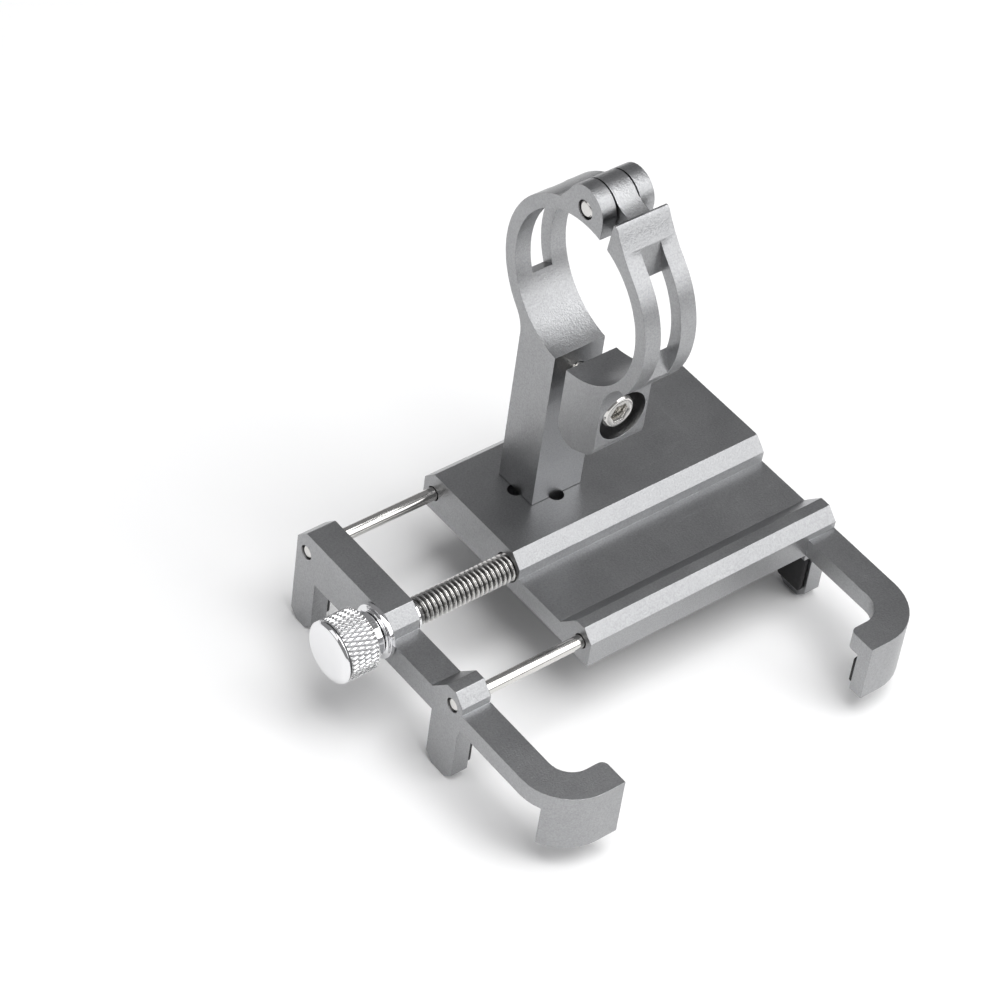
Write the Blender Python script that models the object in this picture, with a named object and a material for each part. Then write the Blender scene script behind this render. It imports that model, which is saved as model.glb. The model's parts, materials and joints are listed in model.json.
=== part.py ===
"""Handlebar phone mount: a claw plate with a screw-driven jaw, and a hinged bar clamp on a pillar.

Drawing frame, in millimetres: X runs along the guide rods from the thumb knob to the fixed jaw,
Z is up, away from the phone, with the plateau's top face at Z = 0, and Y runs along the phone.
The empty mount_origin carries everything into the world frame, whose origin is at the middle of
the footprint, at the claw tips.
"""
import math

import bmesh
import bpy
from mathutils import Vector

MM = 0.001

# --- plate section (extruded along X) ---
PLATE_LENGTH = 57.0
PLATE_UNDERSIDE = -8.6
PLATEAU_END_Y = 25.2
BEVEL = 2.5
SHELF_Z = -4.7
SHELF_END_Y = -14.4
RAIL_TOP_Z = -0.9
RAIL_TOP_END_Y = -20.4
RAIL_OUTER_Y = -22.7

# --- jaws, arms and claws ---
BAR_WIDTH = 6.2
BAR_UNDERSIDE = -10.0
JAW_OUTER_X = -28.0
HOOK_END_Y = -49.2
HOOK_ARM_WIDTH = 5.9
HOOK_REACH = 14.5
HOOK_TIP_R = 1.3
HOOK_WALL = 3.0
HOOK_WALL_START_DEG = 207
HOOK_UNDERSIDE = -17.2
CORNER_OUTER_R = 10.0
CORNER_INNER_R = 4.5
CORNER_STEP_DEG = 9
CLAW_THICKNESS = 3.5
CLAW_TIP_Z = -22.3
CLAW_TAPER = 1.8
CLAW_UPPER_Y = (19.2, PLATEAU_END_Y)
CLAW_LOWER_Y = (-22.3, -15.0)

# --- rods and screw ---
ROD_R = 1.25
ROD_Z = -4.5
ROD_UPPER_Y = 22.4
ROD_LOWER_Y = -20.0
ROD_END_X = 33.0
SCREW_Y = 0.9
SCREW_Z = -4.6
SCREW_R = 2.7
SCREW_LEAD_IN = 0.6
JOURNAL_R = 2.1
BORE_END_X = PLATE_LENGTH - 1.5
KNOB_END_X = -39.2
KNOB_R = 5.9
KNOB_FACE_R = 5.2
KNOB_RIM = 0.6
KNOB_WEB = 3.4
KNURL_END_X = -32.2
NECK_R = 4.3
WASHER_R = 5.1
WASHER_THICKNESS = 1.3
CLIP_R = 3.2
CLIP_THICKNESS = 0.7
CLIP_MOUTH = 2.6

# --- handlebar clamp ---
CLAMP_X = (10.0, 21.1)
PILLAR_Y = (7.3, 16.8)
BORE_R = 15.9
BAND_R = 18.5
BORE_Y = 5.1
BORE_Z = 51.3
PIN_Y = 5.8
PIN_Z = 70.0
PIN_R = 1.6
KNUCKLE_R = 4.5
KNUCKLE_WIDTH = 3.0
PILLAR_FILLET_R = 7.0
RING_BLEND_DEG = 68.0
KNUCKLE_START_DEG = 20.0
SHOULDER_Y = -0.6
SHOULDER_START_DEG = 134.0
SHOULDER = [(-6.2, 66.2), (-4.7, 68.0), (-3.2, 70.1), (-2.4, 71.5), (-1.8, 72.0), (-1.3, 71.8)]
TONGUE_END_DEG = 128.0
TONGUE_SADDLE = [(1.9, 72.6), (0.6, 72.0), (-1.9, 71.6)]
LUG_Y = (-5.5, 4.2)
LUG_BOTTOM_Z = 20.3
LUG_NOSE_R = 3.6
LUG_FRONT_R = 3.0
LUG_SLANT_DEG = 25.0
LUG_TOP_Z = 34.0
LUG_TOP_R = 9.0
LUG_TOP_DEG = 52.0
BAND_END_DEG = 214.0
SLOT_WIDTH = 4.3
FIXED_SLOT_DEG = (-26.0, 46.0)
ARM_SLOT_OUTER_DEG = (109.5, 218.8)
ARM_SLOT_INNER_DEG = (144.0, 179.0)
BOLT_Z = 29.8
BOLT_R = 2.0
BOLT_HEAD_R = 3.4
BOLT_HEAD_HEIGHT = 4.0
BOLT_HEX_R = 1.85
BOLT_HEX_DEPTH = 2.2
BOLT_TIP_Y = 13.4
POCKET_R = 5.0
POCKET_FLOOR_Y = 0.2
POCKET_MOUTH_Y = -16.0
BOLT_WASHER_R = 4.0
BOLT_WASHER_THICKNESS = 0.6
SWING_RELIEF = 1.2

# --- plate holes, pads and fastener ---
INDEX_HOLE_R = 1.45
INDEX_HOLE_DEPTH = 5.0
FOAM_THICKNESS = 1.2
FOAM_UPPER_Y = (4.0, 23.5)
FOAM_LOWER_Y = (-21.0, -3.0)
FOAM_INSET = 1.5
RUBBER_THICKNESS = 1.0
RUBBER_MARGIN = 0.6
FOOT_SCREW_R = 1.5
FOOT_HEAD_R = 2.7
FOOT_HEAD_HEIGHT = 1.6
FOOT_SCREW_TOP_Z = 8.0
FOOT_HEX_R = 1.1
FOOT_HEX_DEPTH = 1.2
FOOT_STEP = 0.2

# --- fits ---
RUNNING_GAP = 0.2
FACE_GAP = 0.15
PAD_GAP = 0.15
SEAT_GAP = 0.1
KNUCKLE_GAP = 0.3
EDGE_BREAK = 0.25
TIP_CHAMFER = 0.4
OVERLAP = 1.0
OVERCUT = 2.0

ROUND_STEPS = 32
FINE_STEPS = 48
BORE_STEPS = 24

ALUMINIUM = ((0.150, 0.152, 0.158), 0.36, 1.0)
STEEL = ((0.72, 0.71, 0.69), 0.14, 1.0)
CHROME = ((0.82, 0.82, 0.83), 0.08, 1.0)
RUBBER = ((0.018, 0.018, 0.019), 0.75, 0.0)


def clear_scene():
    """Removes every object, so that the script can be run again in an open file."""
    for old in list(bpy.data.objects):
        bpy.data.objects.remove(old, do_unlink=True)


def material(name, look):
    """Returns a Principled material with the given colour, roughness and metallic value."""
    colour, roughness, metallic = look
    made = bpy.data.materials.new(name)
    made.use_nodes = True
    shader = made.node_tree.nodes["Principled BSDF"]
    shader.inputs["Base Color"].default_value = (*colour, 1.0)
    shader.inputs["Roughness"].default_value = roughness
    shader.inputs["Metallic"].default_value = metallic
    return made


def add_object(name, mesh_builder, look=None, pivot=(0.0, 0.0, 0.0)):
    """Makes an object from a bmesh drawn in millimetres, with its origin at the pivot."""
    mesh_builder.normal_update()
    bmesh.ops.translate(mesh_builder, verts=mesh_builder.verts, vec=-Vector(pivot))
    bmesh.ops.scale(mesh_builder, verts=mesh_builder.verts, vec=(MM, MM, MM))
    bmesh.ops.recalc_face_normals(mesh_builder, faces=mesh_builder.faces)
    mesh = bpy.data.meshes.new(name)
    mesh_builder.to_mesh(mesh)
    mesh_builder.free()
    mesh.shade_smooth()
    mesh.set_sharp_from_angle(angle=math.radians(28))
    made = bpy.data.objects.new(name, mesh)
    made.location = Vector(pivot) * MM
    bpy.context.scene.collection.objects.link(made)
    if look:
        made.data.materials.append(material(name + "_finish", look))
    return made


def arc(centre, radius, start_deg, end_deg, steps):
    """Points on a circle from one angle to the other, both ends included."""
    angles = [math.radians(start_deg + (end_deg - start_deg) * i / steps) for i in range(steps + 1)]
    return [(centre[0] + radius * math.cos(a), centre[1] + radius * math.sin(a)) for a in angles]


def prism(name, outline, axis, low, high, look=None, pivot=(0.0, 0.0, 0.0)):
    """Extrudes a closed outline along an axis. The outline is in the other two axes, in order."""
    builder = bmesh.new()
    place = {
        "X": lambda a, b: (low, a, b),
        "Y": lambda a, b: (a, low, b),
        "Z": lambda a, b: (a, b, low),
    }[axis]
    face = builder.faces.new([builder.verts.new(place(a, b)) for a, b in outline])
    grown = bmesh.ops.extrude_face_region(builder, geom=[face])
    lifted = [item for item in grown["geom"] if isinstance(item, bmesh.types.BMVert)]
    step = {"X": (1, 0, 0), "Y": (0, 1, 0), "Z": (0, 0, 1)}[axis]
    bmesh.ops.translate(builder, verts=lifted, vec=Vector(step) * (high - low))
    return add_object(name, builder, look, pivot)


def box(name, low, high, look=None, pivot=(0.0, 0.0, 0.0)):
    """Makes a block between two corners."""
    outline = [(low[0], low[1]), (high[0], low[1]), (high[0], high[1]), (low[0], high[1])]
    return prism(name, outline, "Z", low[2], high[2], look, pivot)


def turned(name, profile, axis, centre, look=None, pivot=None, steps=ROUND_STEPS):
    """Turns a profile of (place along the axis, radius) points about the axis through centre."""
    builder = bmesh.new()
    rings = []
    for along, radius in profile:
        ring = []
        for i in range(steps):
            turn = 2 * math.pi * i / steps
            side, rise = radius * math.cos(turn), radius * math.sin(turn)
            ring.append(builder.verts.new({
                "X": (along, centre[0] + side, centre[1] + rise),
                "Y": (centre[0] + side, along, centre[1] + rise),
                "Z": (centre[0] + side, centre[1] + rise, along),
            }[axis]))
        rings.append(ring)
    for first, second in zip(rings, rings[1:]):
        for i in range(steps):
            j = (i + 1) % steps
            builder.faces.new((first[i], first[j], second[j], second[i]))
    builder.faces.new(rings[0])
    builder.faces.new(rings[-1])
    return add_object(name, builder, look, pivot or (0.0, 0.0, 0.0))


def rod(name, axis, centre, radius, low, high, look=None, pivot=None, steps=ROUND_STEPS):
    """A plain cylinder along an axis."""
    return turned(name, [(low, radius), (high, radius)], axis, centre, look, pivot, steps)


def combine(target, tool, operation):
    """Cuts or joins with a hidden tool object, which stays in the scene as a wire guide."""
    step = target.modifiers.new(operation.lower() + "_" + tool.name, "BOOLEAN")
    step.operation = operation
    step.solver = "EXACT"
    step.object = tool
    tool.hide_render = True
    tool.display_type = "WIRE"


def cut(target, *tools):
    for tool in tools:
        combine(target, tool, "DIFFERENCE")


def join(target, *tools):
    for tool in tools:
        combine(target, tool, "UNION")


def break_edges(target, width=EDGE_BREAK):
    """Puts a small chamfer on every sharp edge."""
    step = target.modifiers.new("broken_edges", "BEVEL")
    step.width = width * MM
    step.segments = 1
    step.limit_method = "ANGLE"
    step.angle_limit = math.radians(35)
    step.use_clamp_overlap = True


def plate_section(underside):
    """The shared cross-section in Y and Z: plateau, bevels, shelf and rail."""
    rise = RAIL_TOP_Z - SHELF_Z
    fall = RAIL_TOP_END_Y - RAIL_OUTER_Y
    return [
        (PLATEAU_END_Y, underside),
        (PLATEAU_END_Y, -BEVEL),
        (PLATEAU_END_Y - BEVEL, 0.0),
        (0.0, 0.0),
        (-BEVEL, -BEVEL),
        (-BEVEL, SHELF_Z),
        (SHELF_END_Y, SHELF_Z),
        (SHELF_END_Y - rise, RAIL_TOP_Z),
        (RAIL_TOP_END_Y, RAIL_TOP_Z),
        (RAIL_OUTER_Y, RAIL_TOP_Z - fall),
        (RAIL_OUTER_Y, underside),
    ]


def hook_outline(outer_x, side):
    """Plan of a corner hook: an arm along -Y that rounds the corner and turns inward.

    The tip's inner corner is rounded. side is +1 where inward is +X (the moving jaw) and -1
    where inward is -X (the fixed jaw).
    """
    bend = 90 // CORNER_STEP_DEG
    outer = arc((CORNER_OUTER_R, HOOK_END_Y + CORNER_OUTER_R), CORNER_OUTER_R, 180, 270, bend)
    inner_centre = (BAR_WIDTH + CORNER_INNER_R, HOOK_END_Y + HOOK_ARM_WIDTH + CORNER_INNER_R)
    inner = arc(inner_centre, CORNER_INNER_R, 270, 180, bend)
    tip = arc((HOOK_REACH - HOOK_TIP_R, HOOK_END_Y + HOOK_ARM_WIDTH - HOOK_TIP_R), HOOK_TIP_R,
              0, 90, 5)
    points = [(0.0, RAIL_OUTER_Y + OVERLAP)] + outer + [(HOOK_REACH, HOOK_END_Y)] + tip
    points += inner + [(BAR_WIDTH, RAIL_OUTER_Y + OVERLAP)]
    return [(outer_x + side * a, b) for a, b in points]


def hook_wall_outline(outer_x, side):
    """Plan of the wall that hangs from the hook around the phone's corner."""
    bend = (270 - HOOK_WALL_START_DEG) // CORNER_STEP_DEG
    inner_r = CORNER_OUTER_R - HOOK_WALL
    centre = (CORNER_OUTER_R, HOOK_END_Y + CORNER_OUTER_R)
    points = arc(centre, CORNER_OUTER_R, HOOK_WALL_START_DEG, 270, bend)
    points += [(HOOK_REACH, HOOK_END_Y), (HOOK_REACH, HOOK_END_Y + HOOK_WALL)]
    points += arc(centre, inner_r, 270, HOOK_WALL_START_DEG, bend)
    return [(outer_x + side * a, b) for a, b in points]


def claw_outline(y_range):
    """Side view of a claw: straight flanks and chamfered tip corners."""
    low, high = y_range
    top = BAR_UNDERSIDE + OVERLAP
    return [
        (high, top),
        (high, CLAW_TIP_Z + CLAW_TAPER),
        (high - CLAW_TAPER, CLAW_TIP_Z),
        (low + CLAW_TAPER, CLAW_TIP_Z),
        (low, CLAW_TIP_Z + CLAW_TAPER),
        (low, top),
    ]


def jaw_tools(prefix, outer_x, side):
    """The hook and the two claws that both jaws share, as tools to join."""
    inner_x = outer_x + side * CLAW_THICKNESS
    low, high = min(outer_x, inner_x), max(outer_x, inner_x)
    hook = prism(prefix + "_hook", hook_outline(outer_x, side), "Z", PLATE_UNDERSIDE, SHELF_Z)
    wall = prism(prefix + "_wall", hook_wall_outline(outer_x, side), "Z", HOOK_UNDERSIDE,
                 PLATE_UNDERSIDE + OVERLAP)
    upper = prism(prefix + "_claw_upper", claw_outline(CLAW_UPPER_Y), "X", low, high)
    lower = prism(prefix + "_claw_lower", claw_outline(CLAW_LOWER_Y), "X", low, high)
    return hook, wall, upper, lower


def rod_tool(name, y, z, radius, low, high):
    return rod(name, "X", (y, z), radius, low, high, steps=BORE_STEPS)


def back_plate():
    """The plate and, at its +X end, the fixed jaw: one milled piece."""
    plate = prism("back_plate", plate_section(PLATE_UNDERSIDE), "X", 0.0, PLATE_LENGTH, ALUMINIUM)
    bar = prism("fixed_bar", plate_section(BAR_UNDERSIDE), "X", PLATE_LENGTH - BAR_WIDTH,
                PLATE_LENGTH)
    join(plate, bar, *jaw_tools("fixed", PLATE_LENGTH, -1))
    hole_r = ROD_R + RUNNING_GAP
    cut(plate,
        rod_tool("rod_bore_upper", ROD_UPPER_Y, ROD_Z, hole_r, -OVERCUT, BORE_END_X),
        rod_tool("rod_bore_lower", ROD_LOWER_Y, ROD_Z, hole_r, -OVERCUT, BORE_END_X),
        rod_tool("screw_bore", SCREW_Y, SCREW_Z, SCREW_R + RUNNING_GAP, -OVERCUT, BORE_END_X))
    middle_x, middle_y = sum(CLAMP_X) / 2, sum(PILLAR_Y) / 2
    spots = [(CLAMP_X[0], middle_y), (CLAMP_X[1], middle_y), (middle_x, PILLAR_Y[0]),
             (middle_x, PILLAR_Y[1])]
    for number, spot in enumerate(spots, 1):
        cut(plate, rod(f"index_hole_{number}", "Z", spot, INDEX_HOLE_R, -INDEX_HOLE_DEPTH, OVERCUT,
                       steps=BORE_STEPS))
    foot_r = FOOT_SCREW_R + RUNNING_GAP
    head_r = FOOT_HEAD_R + RUNNING_GAP
    seat_z = PLATE_UNDERSIDE + FACE_GAP + FOOT_HEAD_HEIGHT + RUNNING_GAP
    cut(plate, turned("foot_screw_hole", [(PLATE_UNDERSIDE - OVERCUT, head_r),
                                          (PLATE_UNDERSIDE + FACE_GAP + RUNNING_GAP, head_r),
                                          (seat_z, foot_r), (OVERCUT, foot_r)],
                      "Z", (middle_x, middle_y), steps=BORE_STEPS))
    break_edges(plate)
    return plate


def movable_jaw():
    """The jaw that slides on the rods, cut from the same section as the plate."""
    jaw = prism("movable_jaw", plate_section(BAR_UNDERSIDE), "X", JAW_OUTER_X,
                JAW_OUTER_X + BAR_WIDTH, ALUMINIUM)
    join(jaw, *jaw_tools("moving", JAW_OUTER_X, 1))
    ends = (JAW_OUTER_X - OVERCUT, JAW_OUTER_X + BAR_WIDTH + OVERCUT)
    hole_r = ROD_R + FACE_GAP
    cut(jaw,
        rod_tool("jaw_hole_upper", ROD_UPPER_Y, ROD_Z, hole_r, *ends),
        rod_tool("jaw_hole_lower", ROD_LOWER_Y, ROD_Z, hole_r, *ends),
        rod_tool("jaw_hole_screw", SCREW_Y, SCREW_Z, JOURNAL_R + RUNNING_GAP, *ends))
    break_edges(jaw)
    return jaw


def guide_rods():
    """Two ground rods, fast in the jaw and sliding in the plate."""
    made = []
    for name, y in (("guide_rod_upper", ROD_UPPER_Y), ("guide_rod_lower", ROD_LOWER_Y)):
        profile = [(JAW_OUTER_X + SEAT_GAP, ROD_R - EDGE_BREAK),
                   (JAW_OUTER_X + SEAT_GAP + EDGE_BREAK, ROD_R),
                   (ROD_END_X - TIP_CHAMFER, ROD_R), (ROD_END_X, ROD_R - TIP_CHAMFER)]
        made.append(turned(name, profile, "X", (y, ROD_Z), STEEL, steps=BORE_STEPS))
    return made


def lead_screw(axis, pivot):
    """The screw: a journal from inside the knob to past the clip, then thread-sized to its end."""
    journal_end = JAW_OUTER_X + BAR_WIDTH + FACE_GAP + CLIP_THICKNESS + 2 * FACE_GAP
    return turned("lead_screw", [
        (KNOB_END_X + KNOB_WEB + SEAT_GAP, JOURNAL_R), (journal_end, JOURNAL_R),
        (journal_end, SCREW_R - SCREW_LEAD_IN), (journal_end + SCREW_LEAD_IN, SCREW_R),
        (ROD_END_X - SCREW_LEAD_IN, SCREW_R), (ROD_END_X, SCREW_R - SCREW_LEAD_IN)],
        "X", axis, CHROME, pivot)


def thumb_knob(axis, pivot, knob_start):
    """The knob: a flat end face, a rim wide enough for knurling, and a neck towards the jaw."""
    knob = turned("thumb_knob", [
        (KNOB_END_X, KNOB_FACE_R), (KNOB_END_X + KNOB_RIM, KNOB_R),
        (KNURL_END_X - KNOB_RIM, KNOB_R), (KNURL_END_X, KNOB_R - KNOB_RIM), (KNURL_END_X, NECK_R),
        (knob_start, NECK_R)], "X", axis, CHROME, pivot, steps=FINE_STEPS)
    cut(knob, rod_tool("knob_socket", *axis, JOURNAL_R + FACE_GAP, KNOB_END_X + KNOB_WEB,
                       knob_start + OVERCUT))
    return knob


def jaw_hardware():
    """Guide rods, lead screw, knob, thrust washer and retaining clip."""
    axis = (SCREW_Y, SCREW_Z)
    pivot = (0.0, SCREW_Y, SCREW_Z)
    eye_r = JOURNAL_R + FACE_GAP
    guide_rods()
    lead_screw(axis, pivot)
    washer_start = JAW_OUTER_X - FACE_GAP - WASHER_THICKNESS
    thumb_knob(axis, pivot, washer_start - FACE_GAP)
    washer = rod("thrust_washer", "X", axis, WASHER_R, washer_start, JAW_OUTER_X - FACE_GAP,
                 CHROME, pivot)
    cut(washer, rod_tool("washer_eye", *axis, eye_r, washer_start - OVERCUT,
                         JAW_OUTER_X + OVERCUT))
    clip_start = JAW_OUTER_X + BAR_WIDTH + FACE_GAP
    clip = rod("retaining_clip", "X", axis, CLIP_R, clip_start, clip_start + CLIP_THICKNESS,
               CHROME, pivot)
    half_mouth = CLIP_MOUTH / 2
    cut(clip,
        rod_tool("clip_eye", *axis, eye_r, clip_start - OVERCUT, clip_start + OVERCUT),
        box("clip_mouth", (clip_start - OVERCUT, SCREW_Y - half_mouth, SCREW_Z - 2 * CLIP_R),
            (clip_start + OVERCUT, SCREW_Y + half_mouth, SCREW_Z)))


def circle_cross_y(radius, y):
    """Height above the bore's centre where a circle about the bore crosses a given Y."""
    return math.sqrt(radius ** 2 - (y - BORE_Y) ** 2)


def bore_angle(y, z):
    """Angle about the bore's axis of a point, in degrees from +Y."""
    return math.degrees(math.atan2(z - BORE_Z, y - BORE_Y))


def band_slot(name, outer_span, inner_span):
    """Tool for the long window through a clamp band, with the end angles of its two faces."""
    middle = sum(CLAMP_X) / 2
    centre = (BORE_Y, BORE_Z)
    outline = arc(centre, BAND_R + 3 * OVERCUT, *outer_span, 10)
    outline += arc(centre, BORE_R - OVERLAP, inner_span[1], inner_span[0], 10)
    return prism(name, outline, "X", middle - SLOT_WIDTH / 2, middle + SLOT_WIDTH / 2)


def hinge_hole(name):
    return rod_tool(name, PIN_Y, PIN_Z, PIN_R + RUNNING_GAP, CLAMP_X[0] - OVERCUT,
                    CLAMP_X[1] + OVERCUT)


def pillar_outline():
    """Side view of the post: a filleted back, the half ring, a knuckle, and the bore's front."""
    low_y, high_y = PILLAR_Y
    reach = BAND_R + PILLAR_FILLET_R
    fillet_y = high_y + PILLAR_FILLET_R
    fillet_z = BORE_Z - circle_cross_y(reach, fillet_y)
    meeting = bore_angle(fillet_y, fillet_z)
    inner_start = bore_angle(low_y, BORE_Z - circle_cross_y(BORE_R, low_y))
    knuckle_left = PIN_Y - KNUCKLE_R
    inner_end = bore_angle(knuckle_left, BORE_Z + circle_cross_y(BORE_R, knuckle_left))
    outline = [(low_y, SEAT_GAP), (high_y, SEAT_GAP)]
    outline += arc((fillet_y, fillet_z), PILLAR_FILLET_R, 180.0, 180.0 + meeting, 8)[:-1]
    outline += arc((BORE_Y, BORE_Z), BAND_R, meeting, RING_BLEND_DEG, 36)
    outline += arc((PIN_Y, PIN_Z), KNUCKLE_R, KNUCKLE_START_DEG, 180.0, 16)
    return outline + arc((BORE_Y, BORE_Z), BORE_R, inner_end, inner_start, FINE_STEPS)


def clamp_pillar():
    """The post with the fixed half of the ring and the two outer hinge knuckles."""
    pillar = prism("clamp_pillar", pillar_outline(), "X", *CLAMP_X, ALUMINIUM)
    tongue_x = (CLAMP_X[0] + KNUCKLE_WIDTH, CLAMP_X[1] - KNUCKLE_WIDTH)
    middle_x = sum(CLAMP_X) / 2
    spread = BOLT_R + KNUCKLE_GAP
    relief = arc((middle_x, BOLT_Z), spread, 0, 180, 12)
    relief += arc((middle_x, BOLT_Z - SWING_RELIEF), spread, 180, 360, 12)
    cut(pillar,
        rod("tongue_space", "X", (PIN_Y, PIN_Z), KNUCKLE_R + TIP_CHAMFER, *tongue_x),
        box("tongue_mouth",
            (tongue_x[0], PIN_Y - KNUCKLE_R - OVERCUT, BORE_Z + BORE_R - OVERCUT),
            (tongue_x[1], PIN_Y - PIN_R, PIN_Z + KNUCKLE_R + OVERCUT)),
        hinge_hole("pillar_pin_hole"),
        band_slot("fixed_window", FIXED_SLOT_DEG, FIXED_SLOT_DEG),
        prism("bolt_entry", relief, "Y", PILLAR_Y[0] - OVERCUT, BOLT_TIP_Y + OVERLAP),
        rod("foot_screw_tapping", "Z", (middle_x, sum(PILLAR_Y) / 2), FOOT_SCREW_R + RUNNING_GAP,
            -OVERCUT, FOOT_SCREW_TOP_Z + OVERLAP, steps=BORE_STEPS))
    break_edges(pillar)
    return pillar


def lug_foot():
    """Side view of the lug's foot: a round nose, a slanting underside and a rounded front.

    Both arcs touch the slanting line, which puts the front arc's centre at one height.
    """
    front, back = LUG_Y
    turn = -90 - LUG_SLANT_DEG
    across, up = math.cos(math.radians(turn)), math.sin(math.radians(turn))
    nose = (back - LUG_NOSE_R, LUG_BOTTOM_Z + LUG_NOSE_R)
    front_y = front + LUG_FRONT_R
    reach = nose[0] * across + nose[1] * up + LUG_NOSE_R - LUG_FRONT_R
    front_z = (reach - front_y * across) / up
    return (arc(nose, LUG_NOSE_R, 0, turn, 9) +
            arc((front_y, front_z), LUG_FRONT_R, turn, -180, 6))


def arm_outline():
    """Side view of the swinging half ring: bore, rounded lug, band and raised shoulder."""
    front, back = LUG_Y
    inner_top = bore_angle(SHOULDER_Y, BORE_Z + circle_cross_y(BORE_R, SHOULDER_Y))
    inner_bottom = 360 + bore_angle(back, BORE_Z - circle_cross_y(BORE_R, back))
    outline = arc((BORE_Y, BORE_Z), BORE_R, inner_top, inner_bottom, 44)
    outline += lug_foot()
    outline += arc((front - LUG_TOP_R, LUG_TOP_Z), LUG_TOP_R, 0, LUG_TOP_DEG, 8)
    outline += arc((BORE_Y, BORE_Z), BAND_R, BAND_END_DEG, SHOULDER_START_DEG, 27)
    return outline + SHOULDER


def tongue_outline():
    """Side view of the hinge tongue, which runs down over a saddle into the shoulder."""
    strap_end = TONGUE_SADDLE[-1][0]
    strap = [(y, BORE_Z + circle_cross_y(BORE_R + KNUCKLE_GAP, y))
             for y in (strap_end, 0.0, PIN_Y - 2 * PIN_R)]
    return arc((PIN_Y, PIN_Z), KNUCKLE_R, -55, TONGUE_END_DEG, 28) + TONGUE_SADDLE + strap


def clamp_arm():
    """The swinging half of the ring, with its hinge tongue, shoulders and bolt lug."""
    arm = prism("clamp_arm", arm_outline(), "X", *CLAMP_X, ALUMINIUM, (0.0, PIN_Y, PIN_Z))
    tongue_x = (CLAMP_X[0] + KNUCKLE_WIDTH + KNUCKLE_GAP, CLAMP_X[1] - KNUCKLE_WIDTH - KNUCKLE_GAP)
    bolt_axis = (sum(CLAMP_X) / 2, BOLT_Z)
    join(arm, prism("arm_tongue", tongue_outline(), "X", *tongue_x))
    cut(arm,
        hinge_hole("arm_pin_hole"),
        band_slot("arm_window", ARM_SLOT_OUTER_DEG, ARM_SLOT_INNER_DEG),
        rod("bolt_pocket", "Y", bolt_axis, POCKET_R, POCKET_MOUTH_Y, POCKET_FLOOR_Y, steps=40),
        rod("bolt_passage", "Y", bolt_axis, BOLT_R + RUNNING_GAP, POCKET_FLOOR_Y - OVERCUT,
            LUG_Y[1] + OVERCUT, steps=BORE_STEPS))
    break_edges(arm)
    return arm


def hinge_pin():
    """The ring's hinge pin, just short of the knuckles' faces."""
    low, high = CLAMP_X[0] + SEAT_GAP, CLAMP_X[1] - SEAT_GAP
    return turned("hinge_pin", [(low, PIN_R - EDGE_BREAK), (low + EDGE_BREAK, PIN_R),
                                (high - EDGE_BREAK, PIN_R), (high, PIN_R - EDGE_BREAK)],
                  "X", (PIN_Y, PIN_Z), STEEL)


def clamp_bolt():
    """The socket-head bolt that closes the ring, and the washer under its head."""
    axis = (sum(CLAMP_X) / 2, BOLT_Z)
    pivot = (axis[0], 0.0, BOLT_Z)
    washer_face = POCKET_FLOOR_Y - FACE_GAP
    washer = rod("bolt_washer", "Y", axis, BOLT_WASHER_R, washer_face - BOLT_WASHER_THICKNESS,
                 washer_face, STEEL, pivot)
    cut(washer, rod("bolt_washer_eye", "Y", axis, BOLT_R + FACE_GAP, washer_face - OVERCUT,
                    washer_face + OVERCUT, steps=BORE_STEPS))
    head_seat = washer_face - BOLT_WASHER_THICKNESS - FACE_GAP
    head_face = head_seat - BOLT_HEAD_HEIGHT
    bolt = turned("clamp_bolt", [
        (head_face, BOLT_HEAD_R - TIP_CHAMFER), (head_face + TIP_CHAMFER, BOLT_HEAD_R),
        (head_seat, BOLT_HEAD_R), (head_seat, BOLT_R), (BOLT_TIP_Y - TIP_CHAMFER, BOLT_R),
        (BOLT_TIP_Y, BOLT_R - TIP_CHAMFER)], "Y", axis, STEEL, pivot)
    cut(bolt, turned("bolt_hex", [(head_face - OVERCUT, BOLT_HEX_R),
                                  (head_face + BOLT_HEX_DEPTH, BOLT_HEX_R)], "Y", axis, steps=6))


def pillar_screw():
    """The countersunk screw that holds the post, put in from under the plate."""
    spot = (sum(CLAMP_X) / 2, sum(PILLAR_Y) / 2)
    low = PLATE_UNDERSIDE + FACE_GAP
    foot = turned("pillar_screw", [
        (low, FOOT_HEAD_R), (low + FOOT_STEP, FOOT_HEAD_R), (low + FOOT_HEAD_HEIGHT, FOOT_SCREW_R),
        (FOOT_SCREW_TOP_Z - TIP_CHAMFER, FOOT_SCREW_R),
        (FOOT_SCREW_TOP_Z, FOOT_SCREW_R - TIP_CHAMFER)], "Z", spot, STEEL)
    cut(foot, turned("foot_hex", [(low - OVERCUT, FOOT_HEX_R), (low + FOOT_HEX_DEPTH, FOOT_HEX_R)],
                     "Z", spot, steps=6))


def plate_pads():
    """Foam strips under the plate."""
    top = PLATE_UNDERSIDE - PAD_GAP
    ends = (FOAM_INSET, PLATE_LENGTH - BAR_WIDTH - FOAM_INSET)
    for name, (low, high) in (("plate_pad_upper", FOAM_UPPER_Y), ("plate_pad_lower", FOAM_LOWER_Y)):
        box(name, (ends[0], low, top - FOAM_THICKNESS), (ends[1], high, top), RUBBER)


def claw_pads(jaw, side, outer_x):
    """Rubber facings on the inner faces of one jaw's claws."""
    near = outer_x + side * (CLAW_THICKNESS + PAD_GAP)
    faces = sorted((near, near + side * RUBBER_THICKNESS))
    low_z = CLAW_TIP_Z + CLAW_TAPER + RUBBER_MARGIN
    for place, (low_y, high_y) in (("upper", CLAW_UPPER_Y), ("lower", CLAW_LOWER_Y)):
        box(f"claw_pad_{jaw}_{place}", (faces[0], low_y + RUBBER_MARGIN, low_z),
            (faces[1], high_y - RUBBER_MARGIN, BAR_UNDERSIDE - RUBBER_MARGIN), RUBBER)


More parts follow.
